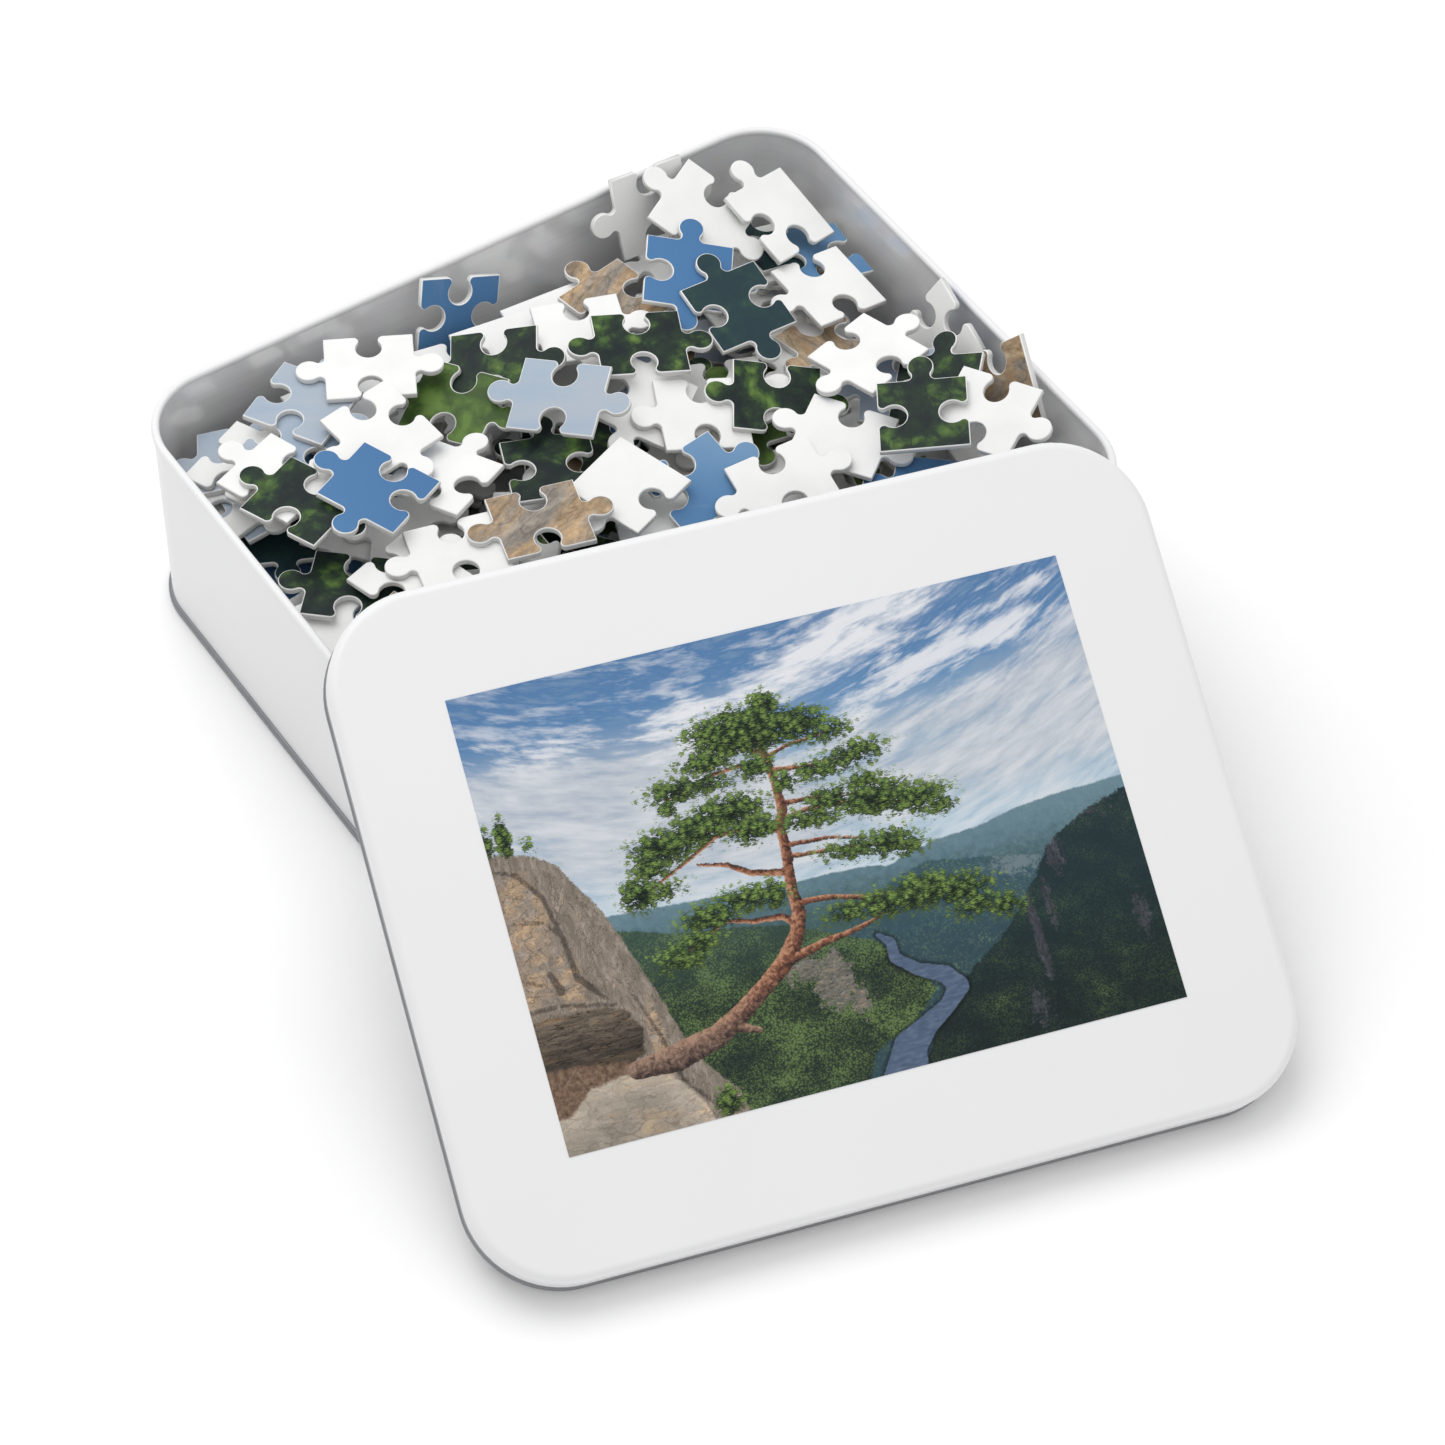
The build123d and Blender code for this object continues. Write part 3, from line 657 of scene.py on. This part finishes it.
def picture_material(settings):
    """The picture on the lid: a pine over a wooded river valley, under a windy sky."""
    paint = Paint("Printed picture")
    sheet = paint.sheet()
    up = paint.height(sheet)
    ragged = paint.noise(sheet, 4.5, 4, 0.65) - 0.5
    rough = paint.noise(sheet, 14, 3, 0.6) - 0.5
    wind = wisps(paint, sheet)

    def within(name, edge=0.04, tear=0.3, fine=0.12):
        """Cover one of the drawing's outlines, with a torn edge."""
        return paint.step(paint.field(name) + ragged * tear + rough * fine, -edge, edge, 1.0, 0.0)

    def veil(tone, share, air):
        """Lay thin cloud or air over a colour."""
        return paint.blend(share, tone, air)

    # Sky and its three banks of cloud
    tone = sky_print(paint, sheet, settings)
    for name, soft, share, cloud in (("low_bank", 0.8, 0.88, rgb(192, 196, 202)),
                                     ("thin_bank", 0.4, 0.85, settings.cloud),
                                     ("bright_bank", 0.55, 1.0, settings.cloud)):
        mask = paint.step(paint.field(name) + (0.5 - wind) * 4.2, -soft, soft, share, 0.0)
        tone = paint.blend(mask, tone, cloud)
    tone = veil(tone, paint.step(wind, 0.46, 0.62, 0.0, 0.5), settings.cloud)
    tone = veil(tone, paint.step(wind, 0.5, 0.36, 0.0, 0.5), rgb(138, 158, 180))
    # Hills, from the farthest to the nearest
    hazy = forest_print(paint, sheet, settings, 12.0)
    ridge = paint.ramp(paint.step(up + ragged * 1.6, 4.2, 6.2), (0.0, rgb(70, 98, 102)),
                       (0.55, rgb(102, 132, 146)), (1.0, rgb(116, 146, 160)))
    tone = paint.blend(within("far_ridge", 0.03, 0.12, 0.04), tone, paint.blend(0.25, ridge, hazy))
    middle = paint.blend(within("middle_rocks", 0.15, 1.0, 0.6), hazy, rgb(126, 132, 130))
    middle = veil(middle, paint.step(up + ragged * 2.0, 2.4, 4.6, 0.34, 0.5), rgb(74, 108, 124))
    tone = paint.blend(within("middle_ridge", 0.03, 0.15), tone, middle)
    slope = veil(forest_print(paint, sheet, settings, 18.0, -0.24, 0.7), paint.step(up, 2.6, 5.2, 0.06, 0.5),
                 rgb(66, 92, 84))
    left_rock = paint.tint(rock_print(paint, sheet, settings, 3.0, (1, 2.4, 1), -0.7, 0.0),
                           rgb(232, 236, 240))
    slope = paint.blend(within("left_rocks", 0.12, 1.5, 0.8) * 0.85, slope, left_rock)
    tone = paint.blend(within("left_slope", 0.03, 0.12), tone, slope)
    slope = veil(forest_print(paint, sheet, settings, 19.0, 0.06, 0.7), paint.step(up, 0.4, 4.6, 0.12, 0.55),
                 rgb(34, 56, 64))
    right_rock = paint.tint(rock_print(paint, sheet, settings, 3.0, (3.0, 0.8, 1), -0.5, -0.06),
                            rgb(150, 160, 190))
    slope = paint.blend(within("right_rocks", 0.16, 2.2, 1.3) * 0.7, slope, right_rock)
    tone = paint.blend(within("right_slope", 0.03, 0.3), tone, slope)
    # River and its shadowed shore
    ripple = paint.noise(paint.stretch(sheet, (1, 3, 1)), 3, 4, 0.6)
    water = paint.blend(paint.step(ripple, 0.35, 0.75), settings.water, rgb(96, 112, 136))
    shore = paint.step(paint.field("river") + rough * 0.1, 0.0, 0.14, 0.35, 1.0)
    tone = paint.tint(tone, paint.grey(shore))
    tone = paint.blend(within("river", 0.02, 0.06, 0.05), tone, water)
    # Cliff, boulders and the soil between them
    cliff = paint.blend(within("warm_faces", 0.25, 1.2, 0.3),
                        rock_print(paint, sheet, settings, 1.6, (2.2, 0.9, 1), -0.3, -0.07),
                        rock_print(paint, sheet, settings, 1.4, (1.2, 1.6, 1), -0.1, 0.14))
    cliff = paint.blend(0.22, paint.tint(cliff, rgb(250, 246, 248)), rgb(172, 156, 138))
    cleft = paint.step(paint.field("clefts") + ragged * 0.16 + rough * 0.08, -0.02, 0.05, 0.42, 1.0)
    tone = paint.blend(within("cliff", 0.03, 0.18), tone, paint.tint(cliff, paint.grey(cleft)))
    block = paint.tint(rock_print(paint, sheet, settings, 1.4, (0.5, 3.0, 1), 0.1), rgb(176, 168, 160))
    block = paint.tint(block, paint.grey(paint.step(up + ragged * 0.5, 2.5, 3.3, 0.62, 1.25)))
    tone = paint.blend(within("boulder", 0.05, 0.2), tone, block)
    earth = paint.ramp(paint.noise(sheet, 7, 4, 0.7), (0.3, rgb(66, 52, 44)), (0.6, rgb(128, 104, 86)),
                       (0.8, rgb(150, 138, 122)))
    tone = paint.blend(within("soil", 0.08, 0.35), tone, earth)
    slab = paint.blend(0.45, rock_print(paint, sheet, settings, 0.9, (0.8, 1.8, 1), -0.35, 0.05),
                       rgb(178, 166, 150))
    lip = paint.step(paint.field("front_boulder"), -1.1, 0.0, 0.86, 1.24)
    tone = paint.blend(within("front_boulder", 0.05, 0.2), tone, paint.tint(slab, paint.grey(lip)))
    # Pine: bark that greys towards the foot, then the tufts
    bark_grain = paint.noise(sheet, 6, 5, 0.7, 0.8)
    lit = paint.step(paint.field("limb_side") * 0.8 + (bark_grain - 0.5) * 4.6, -1.2, 1.3)
    greyed = paint.step(up, 1.6, 3.6, 0.75, 0.0)
    bark = paint.ramp(lit, (0.0, rgb(44, 34, 32)), (0.5, rgb(122, 78, 60)), (1.0, settings.bark))
    bark = paint.blend(greyed, bark, paint.ramp(lit, (0.0, rgb(50, 42, 40)), (1.0, rgb(150, 130, 116))))
    tone = paint.blend(within("limb", 0.015, 0.08, 0.07), tone, bark)
    needles, light = needle_print(paint, sheet, settings)
    shaded = paint.step(paint.field("tuft_height") + (light - 0.45) * 1.6, -1.2, 0.5, 0.5, 1.15)
    reach = paint.field("tuft") + (0.3 - light) * 0.5 + ragged * 0.45
    tone = paint.blend(paint.step(reach, -0.04, 0.04, 1.0, 0.0), tone,
                       paint.tint(needles, paint.grey(shaded)))
    return print_finish(paint, tone, sheet)


# ------------------------------------------------------------------ operators


def solids(shape):
    """Part a shape into its separate solids, each a list of faces."""
    for face in shape.faces:
        face.tag = False
    found = []
    for first in shape.faces:
        if first.tag:
            continue
        first.tag = True
        faces, waiting = [], [first]
        while waiting:
            face = waiting.pop()
            faces.append(face)
            for edge in face.edges:
                for other in edge.link_faces:
                    if not other.tag:
                        other.tag = True
                        waiting.append(other)
        found.append(faces)
    return found


def flats(faces):
    """Find the upper and the lower flat of a piece."""
    upper = max((f for f in faces if f.normal.z > 0), key=lambda f: f.calc_area())
    lower = max((f for f in faces if f.normal.z < 0), key=lambda f: f.calc_area())
    return upper, lower


class TinPuzzleOperator(bpy.types.Operator):
    """Base of the operators"""

    bl_options = {"REGISTER", "UNDO"}


class PUZZLE_OT_tin(TinPuzzleOperator):
    """Finish the tin: enamel outside, bare tinplate inside, and a bare base seam"""

    bl_idname = "puzzle.tin"
    bl_label = "Tin"

    def execute(self, context):
        settings = context.scene.puzzle_tin
        outside, inside = enamel_material(settings), tinplate_material(settings)
        seam = bare_metal_material(settings.seam, "Base seam")
        middle = (TIN_LOW + TIN_HIGH) / 2
        shape, mesh = copy_of("tin_wall", "Tin_wall")
        for face in shape.faces:
            out = face.calc_center_median() - middle
            out.z = 0
            below = face.calc_center_median().z < TIN_HIGH.z - RIM_DEPTH
            face.material_index = 1 if below and face.normal.dot(out) < 0 else 0
        smooth(settle_piece(shape, mesh, "tin_wall", (outside, inside)))
        shape, mesh = copy_of("tin_base", "Tin_base")
        panel = max((f for f in shape.faces if f.normal.z > 0.5),
                    key=lambda f: f.calc_area()).calc_center_median().z
        for face in shape.faces:
            level = abs(face.calc_center_median().z - panel) < 0.1 * MM
            face.material_index = 1 if face.normal.z > 0.5 and level else 0
        smooth(settle_piece(shape, mesh, "tin_base", (seam, inside)))
        return {"FINISHED"}


class PUZZLE_OT_lid(TinPuzzleOperator):
    """Finish the lid: enamel outside, bare tinplate inside, a bare curled edge, and a grey bare band on the
    lower skirt that is mostly painted shade
    """

    bl_idname = "puzzle.lid"
    bl_label = "Lid"

    def execute(self, context):
        settings = context.scene.puzzle_tin
        # The curl's bare metal also colours the band of painted shade on the lower skirt
        bare = bare_metal_material(settings.curl, "Curled edge and skirt shade")
        shape, mesh = copy_of("lid_shell", "Lid_shell")
        middle = sum((v.co for v in shape.verts), Vector()) / len(shape.verts)
        flat = max(NODES["lid_picture"].data.polygons, key=lambda face: face.area).normal
        up = flat if flat.z > 0 else -flat
        # Skirt faces below this height take the grey bare metal: bare metal just above the curl, and painted
        # shade over the rest of the band, where the skirt faces down
        band = max(v.co.dot(up) for v in NODES["lid_curl"].data.vertices) + settings.bare_band
        bmesh.ops.bisect_plane(shape, geom=[*shape.verts, *shape.edges, *shape.faces], dist=1e-7,
                               plane_co=up * band, plane_no=up)
        for face in shape.faces:
            out = face.calc_center_median() - middle
            painted = face.calc_center_median().dot(up) >= band
            face.material_index = 1 if face.normal.dot(out) < 0 else 0 if painted else 2
        materials = bpy.data.materials["White enamel"], bpy.data.materials["Bare tinplate"], bare
        smooth(settle_piece(shape, mesh, "lid_shell", materials))
        shape, mesh = copy_of("lid_curl", "Lid_curl")
        smooth(settle_piece(shape, mesh, "lid_curl", (bare,)))
        return {"FINISHED"}


class PUZZLE_OT_picture(TinPuzzleOperator):
    """Make the printed picture on the lid"""

    bl_idname = "puzzle.picture"
    bl_label = "Lid picture"

    def execute(self, context):
        settings = context.scene.puzzle_picture
        source, mesh = copy_of("lid_picture", "Lid_picture")
        bmesh.ops.dissolve_limit(source, angle_limit=0.01, verts=source.verts, edges=source.edges)
        top, under = flats(source.faces)
        up = top.normal.copy()
        along = max((e.verts[1].co - e.verts[0].co for e in top.edges), key=lambda run: run.length)
        along = (along if along.x > 0 else -along).normalized()
        high = up.cross(along)
        offsets = [v.co for v in top.verts]
        long, wide = (max(v.dot(a) for v in offsets) - min(v.dot(a) for v in offsets) for a in (along, high))
        centre = sum(offsets, Vector()) / len(offsets)
        thick = (top.calc_center_median() - under.calc_center_median()).dot(up)
        source.free()
        lay = Matrix((along, high, up)).transposed().to_4x4()
        lay.translation = centre
        rows = round(settings.columns * wide / long)
        shape = bmesh.new()
        bmesh.ops.create_grid(shape, x_segments=settings.columns, y_segments=rows, size=0.5,
                              matrix=lay @ Matrix.Diagonal((long, wide, 1, 1)))
        rim = [e for e in shape.edges if e.is_boundary]
        skirt = bmesh.ops.extrude_edge_only(shape, edges=rim)["geom"]
        bmesh.ops.translate(shape, verts=[g for g in skirt if isinstance(g, bmesh.types.BMVert)],
                            vec=-up * thick)
        foot = [e for e in shape.edges if e.is_boundary]
        bmesh.ops.contextual_create(shape, geom=foot)
        bmesh.ops.recalc_face_normals(shape, faces=shape.faces)
        piece = settle_piece(shape, mesh, "lid_picture", (picture_material(settings),))
        points = np.empty(len(mesh.vertices) * 3)
        mesh.vertices.foreach_get("co", points)
        flat = (points.reshape(-1, 3) - np.array(centre)) @ np.array((along, high)).T
        size = np.array((long, wide)) * 100
        spots = flat * 100 + size / 2
        for name, values in picture_fields(spots, size).items():
            mesh.attributes.new(name, "FLOAT", "POINT").data.foreach_set("value", values.astype(np.float32))
        corner_points = np.empty(len(mesh.loops), np.int32)
        mesh.loops.foreach_get("vertex_index", corner_points)
        mesh.uv_layers.new(name=SHEET).data.foreach_set("uv", spots[corner_points].ravel().astype(np.float32))
        if len(piece.data.polygons) < rows * settings.columns:
            raise RuntimeError("the printed sheet is not whole")
        return {"FINISHED"}


class PUZZLE_OT_pieces(TinPuzzleOperator):
    """Finish the loose pieces: rounded rims, prints, white backs and cut edges"""

    bl_idname = "puzzle.pieces"
    bl_label = "Loose pieces"

    def execute(self, context):
        settings, picture = context.scene.puzzle_pieces, context.scene.puzzle_picture
        chance = random.Random(settings.seed)
        kinds = tuple(SOURCES)
        back, edge = back_material(settings), board_edge_material(settings)
        materials = [back, edge, *(piece_print_material(kind, picture) for kind in kinds)]
        for node in (n for n in NODES if "piece" in n):
            buried = node.startswith("buried")
            shown = "Cloud" if node in PALE_SKY else PRINTS.get(node.split("_")[0])
            shape, mesh = copy_of(node, node.capitalize())
            bmesh.ops.dissolve_limit(shape, angle_limit=math.radians(2), verts=shape.verts, edges=shape.edges)
            rims = {}
            for faces in solids(shape):
                for flat in flats(faces):
                    rims.update(dict.fromkeys(flat.edges))
            bmesh.ops.bevel(shape, geom=list(rims), offset=settings.rounding, offset_type="OFFSET",
                            affect="EDGES", segments=1 if buried else 2, profile=0.5, material=-1,
                            clamp_overlap=True)
            shape.normal_update()
            sheet = shape.loops.layers.uv.new(SHEET)
            for faces in solids(shape):
                upper, lower = flats(faces)
                kind = shown or (chance.choice(kinds) if buried and chance.random() < PRINT_UP else None)
                hidden = chance.choice(kinds)
                x0, y0, x1, y1 = SOURCES[kind or hidden][1]
                origin = Vector((chance.uniform(x0, x1), chance.uniform(y0, y1)))
                turn = Matrix.Rotation(chance.uniform(-math.pi, math.pi), 3, upper.normal)
                along = turn @ upper.normal.orthogonal().normalized()
                across = upper.normal.cross(along)
                middle = upper.calc_center_median()
                printed = 2 + kinds.index(kind or hidden)
                for face in faces:
                    face.smooth = face is not upper and face is not lower
                    facing = face.normal.dot(upper.normal)
                    white = 1 if abs(facing) < 0.3 else 0
                    on_print = facing > 0.999 if kind else facing < -0.999
                    face.material_index = printed if on_print else white
                    for corner in face.loops:
                        off = (corner.vert.co - middle) * (100 / settings.enlarged)
                        corner[sheet].uv = origin + Vector((off.dot(along), off.dot(across)))
            settle_piece(shape, mesh, node, materials)
        return {"FINISHED"}


class PUZZLE_OT_stage(TinPuzzleOperator):
    """Lay the floor and set up the lights and the camera"""

    bl_idname = "puzzle.stage"
    bl_label = "Table, lights and camera"

    def execute(self, context):
        scene, settings = context.scene, context.scene.puzzle_stage
        shape, mesh = bmesh.new(), bpy.data.meshes.new("Table")
        bmesh.ops.create_grid(shape, x_segments=1, y_segments=1, size=4)
        shape.to_mesh(mesh)
        shape.free()
        table = bpy.data.objects.new("Table", mesh)
        scene.collection.objects.link(table)
        paint = Paint("Table")
        mesh.materials.append(paint.cover(Base_Color=settings.floor, Roughness=0.6, Specular_IOR_Level=0.3))
        table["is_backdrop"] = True

        scene.world = bpy.data.worlds.new("Room")
        scene.world.use_nodes = True
        air = scene.world.node_tree.nodes["Background"]
        air.inputs["Color"].default_value = (1, 1, 1, 1)
        air.inputs["Strength"].default_value = settings.room

        for name, spot, size, share in LAMPS:
            lamp = bpy.data.lights.new(name, "AREA")
            lamp.shape, lamp.size, lamp.energy = "DISK", size, settings.light * share
            light = bpy.data.objects.new(name, lamp)
            scene.collection.objects.link(light)
            light.location = Vector(spot)
            light.rotation_euler = (AIM - light.location).to_track_quat("-Z", "Y").to_euler()

        camera = bpy.data.objects.new("Camera", bpy.data.cameras.new("Camera"))
        scene.collection.objects.link(camera)
        camera.data.lens, camera.data.sensor_width = settings.lens, 36
        camera.data.clip_start, camera.data.clip_end = 0.01, 20
        flat = math.cos(settings.rise)
        back = Vector((math.sin(settings.turn) * flat, -math.cos(settings.turn) * flat,
                       math.sin(settings.rise)))
        camera.location = AIM + back * settings.distance
        look = (-back).to_track_quat("-Z", "Y")
        camera.rotation_euler = (look.to_matrix() @ Matrix.Rotation(settings.roll, 3, "Z")).to_euler()
        scene.camera = camera
        scene.view_settings.view_transform = "Standard"
        return {"FINISHED"}


class PUZZLE_PT_build(bpy.types.Panel):
    """The operators in the order in which they are run"""

    bl_label = "Boxed puzzle"
    bl_space_type = "VIEW_3D"
    bl_region_type = "UI"
    bl_category = "Puzzle"

    def draw(self, context):
        for kind in OPERATORS:
            self.layout.operator(kind.bl_idname)
        for group in (context.scene.puzzle_tin, context.scene.puzzle_pieces, context.scene.puzzle_picture,
                      context.scene.puzzle_stage):
            box = self.layout.box()
            for name in group.__annotations__:
                box.prop(group, name)


GROUPS = {"puzzle_tin": TinSettings, "puzzle_pieces": PieceSettings, "puzzle_picture": PictureSettings,
          "puzzle_stage": StageSettings}
OPERATORS = (PUZZLE_OT_tin, PUZZLE_OT_lid, PUZZLE_OT_picture, PUZZLE_OT_pieces, PUZZLE_OT_stage)


def register():
    for kind in (*GROUPS.values(), *OPERATORS, PUZZLE_PT_build):
        bpy.utils.register_class(kind)
    for name, group in GROUPS.items():
        setattr(bpy.types.Scene, name, PointerProperty(type=group))


def unregister():
    for name in GROUPS:
        delattr(bpy.types.Scene, name)
    for kind in reversed((*GROUPS.values(), *OPERATORS, PUZZLE_PT_build)):
        bpy.utils.unregister_class(kind)


def corners():
    return [list(corner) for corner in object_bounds()]


def main():
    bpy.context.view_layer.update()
    register()
    bpy.ops.puzzle.tin()
    bpy.ops.puzzle.lid()
    bpy.ops.puzzle.picture()
    bpy.ops.puzzle.pieces()
    bpy.ops.puzzle.stage()


if __name__ == "__main__":
    main()
